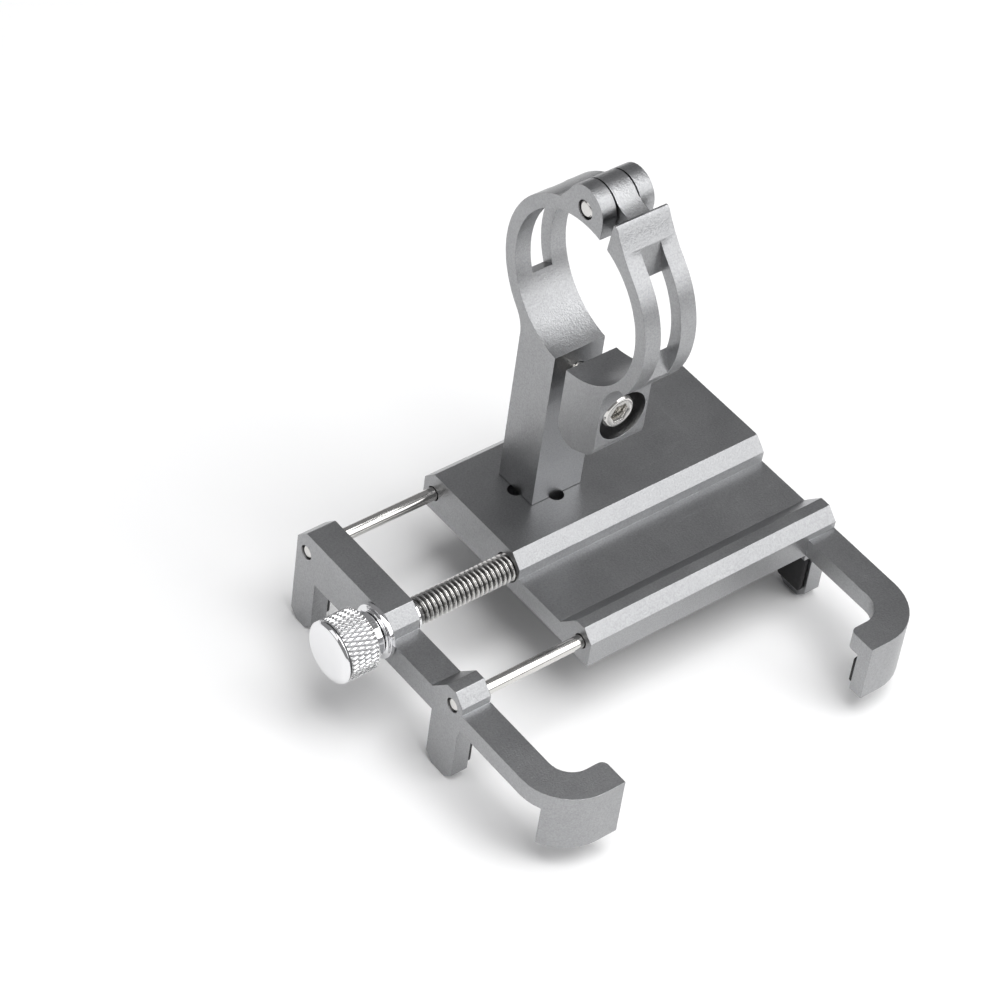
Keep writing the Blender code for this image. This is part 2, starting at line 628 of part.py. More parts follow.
def hook_pad(jaw, side, outer_x):
    """Rubber facing on the straight stretch of one hook's wall."""
    near_y = HOOK_END_Y + HOOK_WALL + PAD_GAP
    ends = sorted((outer_x + side * (CORNER_OUTER_R + RUBBER_MARGIN),
                   outer_x + side * (HOOK_REACH - RUBBER_MARGIN)))
    box(f"hook_pad_{jaw}", (ends[0], near_y, HOOK_UNDERSIDE + RUBBER_MARGIN),
        (ends[1], near_y + RUBBER_THICKNESS, BAR_UNDERSIDE - RUBBER_MARGIN), RUBBER)


def pads():
    """Foam strips under the plate, and rubber facings on both jaws."""
    plate_pads()
    for jaw, side, outer_x in (("moving", 1, JAW_OUTER_X), ("fixed", -1, PLATE_LENGTH)):
        claw_pads(jaw, side, outer_x)
        hook_pad(jaw, side, outer_x)


def carry_to_world(parts):
    """Parents every part to one empty that moves the drawing frame to the world frame."""
    origin = bpy.data.objects.new("mount_origin", None)
    bpy.context.scene.collection.objects.link(origin)
    middle_x = (KNOB_END_X + PLATE_LENGTH) / 2
    middle_y = (HOOK_END_Y + PLATEAU_END_Y) / 2
    origin.location = Vector((-middle_x, -middle_y, -CLAW_TIP_Z)) * MM
    for part in parts:
        part.parent = origin


def main():
    clear_scene()
    back_plate()
    movable_jaw()
    jaw_hardware()
    clamp_pillar()
    clamp_arm()
    hinge_pin()
    clamp_bolt()
    pillar_screw()
    pads()
    carry_to_world(list(bpy.data.objects))


main()
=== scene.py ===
"""Looks of a handlebar phone mount: blasted grey aluminium, polished screw, knob and rods."""
import json
import math

import bmesh
import bpy
import numpy as np
from mathutils import Matrix, Vector

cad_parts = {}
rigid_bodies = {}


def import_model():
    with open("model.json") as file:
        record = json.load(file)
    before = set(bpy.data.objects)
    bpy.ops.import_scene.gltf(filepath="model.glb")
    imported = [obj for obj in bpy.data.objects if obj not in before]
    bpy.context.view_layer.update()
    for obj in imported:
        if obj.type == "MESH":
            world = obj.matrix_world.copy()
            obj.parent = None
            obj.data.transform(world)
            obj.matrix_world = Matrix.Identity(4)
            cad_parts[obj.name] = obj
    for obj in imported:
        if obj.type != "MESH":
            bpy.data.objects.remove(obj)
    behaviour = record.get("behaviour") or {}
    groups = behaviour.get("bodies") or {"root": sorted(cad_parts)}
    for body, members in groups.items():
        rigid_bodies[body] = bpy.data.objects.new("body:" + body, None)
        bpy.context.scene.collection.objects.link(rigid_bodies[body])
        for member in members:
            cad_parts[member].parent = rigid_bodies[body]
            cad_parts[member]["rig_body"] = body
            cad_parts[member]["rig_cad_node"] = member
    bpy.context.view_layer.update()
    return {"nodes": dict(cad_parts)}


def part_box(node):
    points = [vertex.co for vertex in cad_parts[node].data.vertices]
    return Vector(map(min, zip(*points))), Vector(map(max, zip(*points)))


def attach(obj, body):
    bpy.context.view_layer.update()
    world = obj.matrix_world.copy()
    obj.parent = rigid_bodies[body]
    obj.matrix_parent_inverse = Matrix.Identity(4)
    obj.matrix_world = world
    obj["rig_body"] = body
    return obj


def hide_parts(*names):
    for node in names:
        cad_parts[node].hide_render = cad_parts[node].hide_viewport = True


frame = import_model()

MM = 0.001

# --- camera ---
CAMERA_AZIMUTH = math.radians(-43.82)
CAMERA_ELEVATION = math.radians(44.41)
CAMERA_ROLL = math.radians(8.58)
CAMERA_DISTANCE = 0.6544
CAMERA_AIM = Vector((-0.00282, 0.02328, 0.0223))
CAMERA_LENS = 132.75
SENSOR = 36.0

# --- threads, knurl and sockets ---
LEAD_PITCH = 1.0 * MM
LEAD_DEPTH = 0.62 * MM
BOLT_PITCH = 0.7 * MM
BOLT_DEPTH = 0.34 * MM
KNURL_TEETH = 42
KNURL_PITCH = 2.6 * MM
KNURL_DEPTH = 0.32 * MM
KNOB_NECK_SHARE = 0.73
JOURNAL_SHARE = 0.775
BOLT_RADIUS = 2.0 * MM
BOLT_HEAD_HEIGHT = 4.0 * MM
FOOT_SCREW_RADIUS = 1.5 * MM
FOOT_SCREW_HEAD_HEIGHT = 1.75 * MM
FOOT_SCREW_PITCH = 0.5 * MM
FOOT_SCREW_DEPTH = 0.26 * MM
CLIP_GROOVE_RADIUS = 2.28 * MM
CLIP_BAND = 0.55 * MM
CLIP_HALF_MOUTH = math.radians(27)

# --- a turned end stops this far short of the axis, and a fan of faces closes it ---
AXIS_DOT = 0.05 * MM

# --- how sharp a turn between faces stays crisp, in degrees ---
MILLED_SHARP = 52.0
FLAT_SHARP = 32.0

# --- aluminium colours ---
ANODISE = (0.290, 0.293, 0.300, 1.0)
ANODISE_LIGHT = (0.410, 0.413, 0.420, 1.0)


# ---------------------------------------------------------------- meshes

def node_centre(node):
    low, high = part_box(node)
    return (low + high) / 2


def make_piece(name, points, faces, node, finish, sharp_deg=FLAT_SHARP):
    """Turns points and faces into a smooth-shaded piece that stands for a CAD node."""
    mesh = bpy.data.meshes.new(name)
    mesh.from_pydata(np.asarray(points, float).tolist(), [], faces)
    mesh.validate()
    piece = bpy.data.objects.new(name, mesh)
    bpy.context.scene.collection.objects.link(piece)
    finish_piece(piece, node, finish, sharp_deg)
    return piece


def finish_piece(piece, node, finish, sharp_deg, flat_faces=False):
    """Outward normals, smooth shading with sharp edges kept, finish, body and material slot."""
    shell = bmesh.new()
    shell.from_mesh(piece.data)
    bmesh.ops.remove_doubles(shell, verts=shell.verts, dist=1e-7)
    if flat_faces:
        bmesh.ops.dissolve_limit(shell, angle_limit=math.radians(0.3), verts=shell.verts,
                                 edges=shell.edges)
    bmesh.ops.recalc_face_normals(shell, faces=shell.faces)
    shell.to_mesh(piece.data)
    shell.free()
    piece.data.shade_smooth()
    piece.data.set_sharp_from_angle(angle=math.radians(sharp_deg))
    if flat_faces:
        steady = piece.modifiers.new("flat faces stay flat", "WEIGHTED_NORMAL")
        steady.keep_sharp = True
        steady.weight = 100
    piece.data.materials.clear()
    piece.data.materials.append(finish)
    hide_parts(node)
    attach(piece, frame["nodes"][node]["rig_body"])


def band_finish(piece, finish, start, end):
    """Gives the faces between two places along X a second finish."""
    piece.data.materials.append(finish)
    centres = np.empty(len(piece.data.polygons) * 3)
    piece.data.polygons.foreach_get("center", centres)
    x = centres.reshape(-1, 3)[:, 0]
    piece.data.polygons.foreach_set("material_index", ((x > start) & (x < end)).astype(np.int32))


def tube_faces(rings, around):
    """Quads of a closed tube whose points are rings times around, with a fan at each end."""
    r, a = np.meshgrid(np.arange(rings - 1), np.arange(around), indexing="ij")
    nxt = (a + 1) % around
    quads = np.stack([r * around + a, r * around + nxt, (r + 1) * around + nxt,
                      (r + 1) * around + a], -1).reshape(-1, 4)
    first, last = rings * around, rings * around + 1
    a = np.arange(around)
    nxt = (a + 1) % around
    start = np.stack([nxt, a, np.full(around, first)], -1)
    end = np.stack([(rings - 1) * around + a, (rings - 1) * around + nxt,
                    np.full(around, last)], -1)
    return quads.tolist() + start.tolist() + end.tolist()


def turned_points(along, radius, angle, axis, centre):
    """Surface of revolution on a grid: each point lies at radius from the axis, turned by angle.

    along, radius and angle are arrays of one shape (rings, around); the two end rings are closed
    by one more point each, on the axis.
    """
    side, rise = radius * np.cos(angle), radius * np.sin(angle)
    flat = [np.ravel(values) for values in (along, side, rise)]
    ends = np.array([[along[0].mean(), 0.0, 0.0], [along[-1].mean(), 0.0, 0.0]])
    grid = np.concatenate([np.stack(flat, -1), ends])
    if axis == "X":
        return grid + np.array([0.0, centre.y, centre.z])
    if axis == "Y":
        return np.stack([grid[:, 1], grid[:, 0], grid[:, 2]], -1) + [centre.x, 0.0, centre.z]
    return np.stack([grid[:, 1], grid[:, 2], grid[:, 0]], -1) + [centre.x, centre.y, 0.0]


def rounded_profile(corners, radius, steps=5):
    """Corner points of a profile, each replaced by a short arc-like curve of that radius.

    The curve between the two cut-back points is the quadratic (1-t)^2 A + 2t(1-t) B + t^2 C.
    """
    corners = np.asarray(corners, float)
    points = [corners[0]]
    for before, corner, after in zip(corners, corners[1:], corners[2:]):
        back, ahead = before - corner, after - corner
        reach = min(radius, 0.45 * np.linalg.norm(back), 0.45 * np.linalg.norm(ahead))
        start = corner + back / np.linalg.norm(back) * reach
        end = corner + ahead / np.linalg.norm(ahead) * reach
        t = np.linspace(0, 1, steps)[:, None]
        points.extend((1 - t) ** 2 * start + 2 * t * (1 - t) * corner + t ** 2 * end)
    points.append(corners[-1])
    return np.array(points)


def revolve(name, node, profile, axis, finish, around=96):
    """A turned piece: a profile of (place along the axis, radius) carried round the axis."""
    profile = np.asarray(profile)
    angle = np.linspace(0, 2 * np.pi, around, endpoint=False)
    along = np.repeat(profile[:, :1], around, 1)
    radius = np.repeat(profile[:, 1:], around, 1)
    points = turned_points(along, radius, angle[None, :] + 0 * along, axis, node_centre(node))
    return make_piece(name, points, tube_faces(len(profile), around), node, finish)


def thread_wave(phase):
    """A 60-degree thread form on a phase of 0 to 1: flat crest, straight flanks, rounded root."""
    from_crest = np.abs(phase - np.floor(phase) - 0.5) * 2
    return np.clip((from_crest - 0.10) / 0.72, 0, 1) ** 1.15


def screw_grid(start, end, radius, pitch, depth, around, per_turn, taper):
    """Grid of a right-hand thread: radius falls by depth times the wave of x/pitch - angle/2pi.

    Over the taper at both ends the crest comes down to the root, as on a run-out.
    """
    rings = int((end - start) / pitch * per_turn)
    along = np.linspace(start, end, rings)[:, None]
    angle = np.linspace(0, 2 * np.pi, around, endpoint=False)[None, :]
    wave = thread_wave(along / pitch - angle / (2 * np.pi))
    ease = np.clip(np.minimum(along - start, end - along) / taper, 0, 1)
    top = radius - depth * (1 - ease)
    return along + 0 * angle, np.minimum(top, radius - depth * wave), angle + 0 * along


def plain_rings(profile, around):
    """Grid rows of a turned profile, to join to a threaded grid."""
    profile = np.asarray(profile)
    angle = np.linspace(0, 2 * np.pi, around, endpoint=False)[None, :]
    along, radius = profile[:, :1], profile[:, 1:]
    return along + 0 * angle, radius + 0 * angle, angle + 0 * along


def stack_rows(*grids):
    return [np.concatenate(rows) for rows in zip(*grids)]


def hexagon_radius(angle, across_corners):
    """Distance from the middle of a hexagon to its edge: flat distance over cos of the turn
    from the nearest flat's middle."""
    turn = np.mod(angle, np.pi / 3) - np.pi / 6
    return across_corners * math.cos(math.pi / 6) / np.cos(turn)


# ---------------------------------------------------------------- finishes

def shader_group(name, inputs, outputs):
    """An empty node group with the named float, colour or vector sockets."""
    group = bpy.data.node_groups.new(name, "ShaderNodeTree")
    for label, kind, value in inputs:
        socket = group.interface.new_socket(label, in_out="INPUT", socket_type=kind)
        socket.default_value = value
    for label, kind in outputs:
        group.interface.new_socket(label, in_out="OUTPUT", socket_type=kind)
    return group, group.nodes.new("NodeGroupInput"), group.nodes.new("NodeGroupOutput")


def add(tree, kind, links=(), **values):
    """Adds a node, sets its properties and plain inputs, and links the given inputs."""
    node = tree.nodes.new(kind)
    for key, value in values.items():
        if hasattr(node, key):
            setattr(node, key, value)
        else:
            node.inputs[key.replace("_", " ")].default_value = value
    for target, source in links:
        tree.links.new(source, node.inputs[target])
    return node


def blasted_grain_group():
    """Fine bead-blast grain with a slow cloud over it, both from Object coordinates."""
    group, given, out = shader_group(
        "blasted_grain",
        [("Grain size", "NodeSocketFloat", 3600.0), ("Cloud size", "NodeSocketFloat", 90.0)],
        [("Grain", "NodeSocketFloat"), ("Cloud", "NodeSocketFloat")])
    where = add(group, "ShaderNodeTexCoord").outputs["Object"]
    grain = add(group, "ShaderNodeTexNoise",
                [("Vector", where), ("Scale", given.outputs["Grain size"])],
                Detail=3.0, Roughness=0.6)
    cloud = add(group, "ShaderNodeTexNoise",
                [("Vector", where), ("Scale", given.outputs["Cloud size"])],
                Detail=4.0, Roughness=0.55)
    group.links.new(grain.outputs["Fac"], out.inputs["Grain"])
    group.links.new(cloud.outputs["Fac"], out.inputs["Cloud"])
    return group


def hairline_group():
    """Thin scattered handling marks: two families of stretched noise, cut to their peaks."""
    group, given, out = shader_group(
        "hairline_marks",
        [("Size", "NodeSocketFloat", 60.0), ("Amount", "NodeSocketFloat", 0.5)],
        [("Mark", "NodeSocketFloat")])
    where = add(group, "ShaderNodeTexCoord").outputs["Object"]
    masks = []
    for stretch, turn in (((1.0, 26.0, 26.0), 0.5), ((22.0, 1.0, 22.0), -0.3)):
        place = add(group, "ShaderNodeMapping", [("Vector", where)])
        place.inputs["Scale"].default_value = stretch
        place.inputs["Rotation"].default_value = (turn, turn, turn)
        noise = add(group, "ShaderNodeTexNoise",
                    [("Vector", place.outputs["Vector"]), ("Scale", given.outputs["Size"])],
                    Detail=2.0, Roughness=0.5)
        peak = add(group, "ShaderNodeMapRange", [("Value", noise.outputs["Fac"])],
                   clamp=True)
        peak.inputs["From Min"].default_value = 0.62
        peak.inputs["From Max"].default_value = 0.74
        masks.append(peak.outputs["Result"])
    both = add(group, "ShaderNodeMath", operation="MAXIMUM")
    group.links.new(masks[0], both.inputs[0])
    group.links.new(masks[1], both.inputs[1])
    scaled = add(group, "ShaderNodeMath", operation="MULTIPLY")
    group.links.new(both.outputs[0], scaled.inputs[0])
    group.links.new(given.outputs["Amount"], scaled.inputs[1])
    group.links.new(scaled.outputs[0], out.inputs["Mark"])
    return group


def root_shade_group():
    """How near a point of a turned, X-long piece is to its crests: 0 in the roots, 1 on top; the
    mask of the painted root shade.

    The distance from the axis is the length of (point - centre) with its X set to 0.
    """
    group, given, out = shader_group(
        "root_shade",
        [("Centre", "NodeSocketVector", (0.0, 0.0, 0.0)), ("Root", "NodeSocketFloat", 0.002),
         ("Crest", "NodeSocketFloat", 0.0027)], [("Height", "NodeSocketFloat")])
    where = add(group, "ShaderNodeTexCoord").outputs["Object"]
    shift = add(group, "ShaderNodeVectorMath", operation="SUBTRACT")
    group.links.new(where, shift.inputs[0])
    group.links.new(given.outputs["Centre"], shift.inputs[1])
    across = add(group, "ShaderNodeVectorMath", operation="MULTIPLY")
    group.links.new(shift.outputs[0], across.inputs[0])
    across.inputs[1].default_value = (0.0, 1.0, 1.0)
    reach = add(group, "ShaderNodeVectorMath", operation="LENGTH")
    group.links.new(across.outputs[0], reach.inputs[0])
    height = add(group, "ShaderNodeMapRange",
                 [("Value", reach.outputs["Value"]), ("From Min", given.outputs["Root"]),
                  ("From Max", given.outputs["Crest"])], clamp=True)
    group.links.new(height.outputs["Result"], out.inputs["Height"])
    return group


def new_finish(name, metallic):
    made = bpy.data.materials.new(name)
    made.use_nodes = True
    tree = made.node_tree
    shader = tree.nodes["Principled BSDF"]
    shader.inputs["Metallic"].default_value = metallic
    return made, tree, shader


def place_group(tree, group, **values):
    node = tree.nodes.new("ShaderNodeGroup")
    node.node_tree = group
    for key, value in values.items():
        node.inputs[key.replace("_", " ")].default_value = value
    return node


def ramp(tree, source, low, high):
    """A value from low to high as the source runs from 0 to 1."""
    node = add(tree, "ShaderNodeMapRange", [("Value", source)])
    node.inputs["To Min"].default_value = low
    node.inputs["To Max"].default_value = high
    return node.outputs["Result"]


def two_colours(tree, factor, first, second):
    node = tree.nodes.new("ShaderNodeMix")
    node.data_type = "RGBA"
    tree.links.new(factor, node.inputs[0])
    node.inputs[6].default_value = first
    node.inputs[7].default_value = second
    return node.outputs[2]


def bump(tree, shader, height, strength, distance):
    node = add(tree, "ShaderNodeBump", [("Height", height)])
    node.inputs["Strength"].default_value = strength
    node.inputs["Distance"].default_value = distance
    tree.links.new(node.outputs["Normal"], shader.inputs["Normal"])


def anodised_aluminium(groups):
    """Grey anodise over a blasted surface: satin, finely grained, with faint handling marks."""
    made, tree, shader = new_finish("anodised_aluminium", 1.0)
    grain = place_group(tree, groups["grain"], Grain_size=3000.0)
    marks = place_group(tree, groups["marks"], Size=55.0, Amount=0.35)
    speck = add(tree, "ShaderNodeMath", operation="ADD")
    tree.links.new(ramp(tree, grain.outputs["Cloud"], -0.3, 0.5), speck.inputs[0])
    tree.links.new(ramp(tree, grain.outputs["Grain"], -0.6, 1.4), speck.inputs[1])
    colour = two_colours(tree, speck.outputs[0], ANODISE, ANODISE_LIGHT)
    tree.links.new(colour, shader.inputs["Base Color"])
    rough = add(tree, "ShaderNodeMath", operation="ADD")
    tree.links.new(ramp(tree, grain.outputs["Cloud"], 0.27, 0.37), rough.inputs[0])
    tree.links.new(ramp(tree, marks.outputs["Mark"], 0.0, 0.12), rough.inputs[1])
    tree.links.new(rough.outputs[0], shader.inputs["Roughness"])
    bump(tree, shader, grain.outputs["Grain"], 0.6, 0.00009)
    return made


def polished_metal(name, groups, first, second, smooth, rough, mark_size):
    """Polished or plated metal: bright, with hairlines that only change its roughness."""
    made, tree, shader = new_finish(name, 1.0)
    grain = place_group(tree, groups["grain"], Grain_size=2400.0, Cloud_size=160.0)
    marks = place_group(tree, groups["marks"], Size=mark_size, Amount=1.0)
    tree.links.new(two_colours(tree, grain.outputs["Cloud"], first, second),
                   shader.inputs["Base Color"])
    tree.links.new(ramp(tree, marks.outputs["Mark"], smooth, rough), shader.inputs["Roughness"])
    bump(tree, shader, grain.outputs["Grain"], 0.04, 0.00003)
    return made


def shaded_roots(name, groups, node, roots, crests, smooth, depth):
    """Plated metal on a threaded or knurled X-long piece, with painted shade: its roots coloured
    dark, its crests bright.
    """
    made, tree, shader = new_finish(name, 1.0)
    low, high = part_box(node)
    crest = (high.z - low.z) / 2
    shade = place_group(tree, groups["roots"], Centre=node_centre(node), Root=crest - depth,
                        Crest=crest)
    grain = place_group(tree, groups["grain"], Grain_size=2400.0, Cloud_size=160.0)
    # painted shade: the colour runs from dark in the roots to bright on the crests
    tree.links.new(two_colours(tree, shade.outputs["Height"], roots, crests),
                   shader.inputs["Base Color"])
    tree.links.new(ramp(tree, shade.outputs["Height"], 0.32, smooth), shader.inputs["Roughness"])
    bump(tree, shader, grain.outputs["Grain"], 0.04, 0.00003)
    return made


def black_elastomer(name, groups, grain_size, strength):
    """Matt black rubber or foam with a fine skin."""
    made, tree, shader = new_finish(name, 0.0)
    grain = place_group(tree, groups["grain"], Grain_size=grain_size, Cloud_size=120.0)
    tree.links.new(two_colours(tree, grain.outputs["Cloud"], (0.012, 0.012, 0.013, 1.0),
                               (0.030, 0.030, 0.031, 1.0)), shader.inputs["Base Color"])
    tree.links.new(ramp(tree, grain.outputs["Grain"], 0.62, 0.86), shader.inputs["Roughness"])
    bump(tree, shader, grain.outputs["Grain"], strength, 0.0001)
    return made


# ---------------------------------------------------------------- pieces

def aluminium_pieces(finish):
    """The four milled pieces: the CAD shape welded into one shell, smooth on its round faces."""
    for node, name in (("back_plate", "plate_and_fixed_jaw"), ("movable_jaw", "sliding_jaw"),
                       ("clamp_pillar", "pillar_and_half_ring"), ("clamp_arm", "swing_arm")):
        piece = frame["nodes"][node].copy()
        piece.data = piece.data.copy()
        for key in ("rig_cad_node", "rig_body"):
            if key in piece:
                del piece[key]
        piece.parent = None
        piece.matrix_world = Matrix.Identity(4)
        piece.name = name
        bpy.context.scene.collection.objects.link(piece)
        finish_piece(piece, node, finish, MILLED_SHARP,
                     flat_faces=True)


def thumb_knob(plain, knurled):
    """Knurled cylinder: two crossed families of helical grooves, pressed into the rim.

    The groove depth is the larger of the triangle waves of a + b and a - b, where a counts
    teeth round the rim and b counts pitches along it; it fades out at both ends.
    """
    low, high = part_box("thumb_knob")
    centre = node_centre("thumb_knob")
    rim, around = (high.z - low.z) / 2, 504
    length = high.x - low.x
    neck = rim * KNOB_NECK_SHARE
    knurl_end = length - 2.45 * MM
    front = rounded_profile([
        (low.x, AXIS_DOT), (low.x + 0.05 * MM, rim - 1.3 * MM),
        (low.x + 0.32 * MM, rim - 0.4 * MM),
        (low.x + 0.75 * MM, rim - 0.02 * MM), (low.x + 0.93 * MM, rim - 0.02 * MM),
        (low.x + 0.97 * MM, rim - 0.38 * MM), (low.x + 1.13 * MM, rim - 0.38 * MM),
        (low.x + 1.20 * MM, rim - 0.02 * MM)], 0.30 * MM)
    start, end = low.x + 1.22 * MM, low.x + knurl_end
    x = np.linspace(start, end, 110)[:, None]
    angle = np.linspace(0, 2 * np.pi, around, endpoint=False)[None, :]
    a = KNURL_TEETH * angle / (2 * np.pi)
    b = x / KNURL_PITCH
    waves = [np.abs(2 * (p - np.floor(p)) - 1) for p in (a + b, a - b)]
    groove = np.clip((np.maximum(*waves) - 0.45) / 0.55, 0, 1)
    fade = np.clip(np.minimum(x - start, end - x) / (0.35 * MM), 0, 1)
    knurl = (x + 0 * angle, rim - 0.02 * MM - KNURL_DEPTH * groove * fade, angle + 0 * x)
    back = rounded_profile([
        (end + 0.02 * MM, rim - 0.05 * MM), (end + 0.45 * MM, rim - 0.60 * MM),
        (end + 0.47 * MM, neck), (high.x - 0.35 * MM, neck), (high.x, neck - 0.35 * MM),
        (high.x, AXIS_DOT)], 0.15 * MM)
    rows = stack_rows(plain_rings(front, around), knurl, plain_rings(back, around))
    points = turned_points(*rows, "X", centre)
    knob = make_piece("knurled_knob", points, tube_faces(len(rows[0]), around), "thumb_knob",
                      plain, 40.0)
    band_finish(knob, knurled, low.x + 0.94 * MM, end + 0.4 * MM)


def lead_screw(plain, threaded):
    """The jaw screw: a plain journal through the jaw, then a rolled thread to its far end."""
    low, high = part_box("lead_screw")
    centre, around = node_centre("lead_screw"), 40
    radius = (high.z - low.z) / 2
    journal = radius * JOURNAL_SHARE
    thread_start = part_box("retaining_clip")[1].x + 0.32 * MM
    front = rounded_profile([(low.x, AXIS_DOT), (low.x, journal - 0.2 * MM),
                             (low.x + 0.3 * MM, journal), (thread_start - 0.02 * MM, journal),
                             (thread_start, radius - LEAD_DEPTH)], 0.1 * MM, 3)
    thread = screw_grid(thread_start + 0.01 * MM, high.x - 0.6 * MM, radius, LEAD_PITCH,
                        LEAD_DEPTH, around, 14, 0.9 * MM)
    tail = np.array([(high.x - 0.58 * MM, radius - LEAD_DEPTH - 0.02 * MM),
                     (high.x, radius - 0.8 * MM), (high.x, AXIS_DOT)])
    rows = stack_rows(plain_rings(front, around), thread, plain_rings(tail, around))
    points = turned_points(*rows, "X", centre)
    screw = make_piece("jaw_screw", points, tube_faces(len(rows[0]), around), "lead_screw",
                       plain, 50.0)
    band_finish(screw, threaded, thread_start, high.x - 0.6 * MM)


def guide_rods(finish):
    """Ground rods with a domed, riveted outer end and a chamfered inner end."""
    for node in ("guide_rod_upper", "guide_rod_lower"):
        low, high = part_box(node)
        radius = (high.z - low.z) / 2
        profile = rounded_profile([
            (low.x + 0.02 * MM, AXIS_DOT), (low.x + 0.05 * MM, radius * 0.6),
            (low.x + 0.25 * MM, radius), (high.x - 0.4 * MM, radius),
            (high.x, radius - 0.4 * MM), (high.x, AXIS_DOT)], 0.2 * MM)
        revolve(node.replace("guide", "slide"), node, profile, "X", finish, 64)


def turned_hardware(chrome, steel):
    """Thrust washer, hinge pin and bolt washer, each a rounded turned profile."""
    low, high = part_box("thrust_washer")
    rim = (high.z - low.z) / 2
    profile = rounded_profile([
        (low.x, 2.4 * MM), (low.x, rim - 1.0 * MM), (low.x + 0.30 * MM, rim - 0.75 * MM),
        (low.x + 0.30 * MM, rim), (high.x, rim), (high.x, 2.4 * MM)], 0.18 * MM)
    ring_piece("flanged_washer", "thrust_washer", profile, "X", chrome)
    low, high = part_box("hinge_pin")
    radius = (high.z - low.z) / 2
    profile = rounded_profile([
        (low.x, AXIS_DOT), (low.x + 0.02 * MM, radius - 0.4 * MM), (low.x + 0.3 * MM, radius),
        (high.x - 0.3 * MM, radius), (high.x - 0.02 * MM, radius - 0.4 * MM),
        (high.x, AXIS_DOT)], 0.15 * MM)
    revolve("ring_hinge_pin", "hinge_pin", profile, "X", steel, 64)
    low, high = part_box("bolt_washer")
    rim = (high.z - low.z) / 2
    profile = rounded_profile([(low.y, 2.2 * MM), (low.y, rim), (high.y, rim),
                               (high.y, 2.2 * MM)], 0.12 * MM)
    ring_piece("bolt_seat_washer", "bolt_washer", profile, "Y", steel)


def ring_piece(name, node, profile, axis, finish, around=96):
    """A washer: a closed profile carried once round the axis, with its bore left open."""
    profile = np.asarray(profile)
    count = len(profile)
    angle = np.linspace(0, 2 * np.pi, around, endpoint=False)
    along = np.repeat(profile[:, :1], around, 1)
    radius = np.repeat(profile[:, 1:], around, 1)
    points = turned_points(along, radius, angle[None, :] + 0 * along, axis, node_centre(node))[:-2]
    r, a = np.meshgrid(np.arange(count), np.arange(around), indexing="ij")
    nxt, row = (a + 1) % around, (r + 1) % count
    quads = np.stack([r * around + a, r * around + nxt, row * around + nxt, row * around + a], -1)
    make_piece(name, points, quads.reshape(-1, 4).tolist(), node, finish)


def retaining_clip(finish):
    """Open spring ring: a rounded rectangle section carried round most of a turn.

    The path angle runs from one end of the mouth to the other; at each station the section's
    radius goes from the shaft groove to the outer edge, with three inner prongs left wider.
    """
    low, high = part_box("retaining_clip")
    centre = node_centre("retaining_clip")
    centre.z = node_centre("thrust_washer").z
    outer, stations = (high.y - low.y) / 2, 72
    angle = np.linspace(-np.pi / 2 + CLIP_HALF_MOUTH, 1.5 * np.pi - CLIP_HALF_MOUTH, stations)
    prong = np.abs(np.cos(1.5 * (angle - np.pi / 2))) ** 6
    inner = outer - CLIP_BAND - prong * (outer - CLIP_BAND - CLIP_GROOVE_RADIUS)
    edge = 0.12 * MM
    low_x, high_x = low.x + 0.02 * MM, high.x - 0.02 * MM
    section = [(0.0, low_x + edge), (0.5, low_x), (1.0, low_x + edge), (1.0, high_x - edge),
               (0.5, high_x), (0.0, high_x - edge)]
    rows = []
    for across, x in section:
        radius = inner + across * (outer - inner)
        rows.append(np.stack([np.full(stations, x), centre.y + radius * np.cos(angle),
                              centre.z + radius * np.sin(angle)], -1))
    points = np.stack(rows, 1).reshape(-1, 3)
    k = len(section)
    s, c = np.meshgrid(np.arange(stations - 1), np.arange(k), indexing="ij")
    nxt = (c + 1) % k
    quads = np.stack([s * k + c, s * k + nxt, (s + 1) * k + nxt, (s + 1) * k + c], -1)
    faces = quads.reshape(-1, 4).tolist()
    faces += [list(range(k))[::-1], list(range((stations - 1) * k, stations * k))]
    make_piece("spring_clip", points, faces, "retaining_clip", finish, 50.0)


def socket_screw(name, node, axis, profile, thread_span, pitch, depth, hexagon, finish,
                 around=72):
    """A hex-socket screw as one closed surface, from its tip to the floor of its socket.

    Each row is a circle of the profile's radius, apart from the thread, where the radius
    follows the thread wave, and the socket's wall, where it is the radius of a hexagon.
    """
    tip, head = profile
    corners, mouth, floor = hexagon
    thread = screw_grid(*thread_span, pitch, depth, around, 12, pitch * 0.8)
    angle = np.linspace(0, 2 * np.pi, around, endpoint=False)[None, :]
    wall = hexagon_radius(angle, corners)
    bevel = wall * 1.10
    sides = [(mouth, bevel), (mouth + (floor - mouth) * 0.12, wall), (floor, wall),
             (floor + (floor - mouth) * 0.12, wall * 0.5)]
    socket = stack_rows(*[(np.full((1, around), x), r, angle) for x, r in sides])
    from_tip = [np.flip(values, 0) for values in thread]
    rows = stack_rows(plain_rings(tip, around), from_tip, plain_rings(head, around), socket)
    points = turned_points(*rows, axis, node_centre(node))
    make_piece(name, points, tube_faces(len(rows[0]), around), node, finish, 38.0)


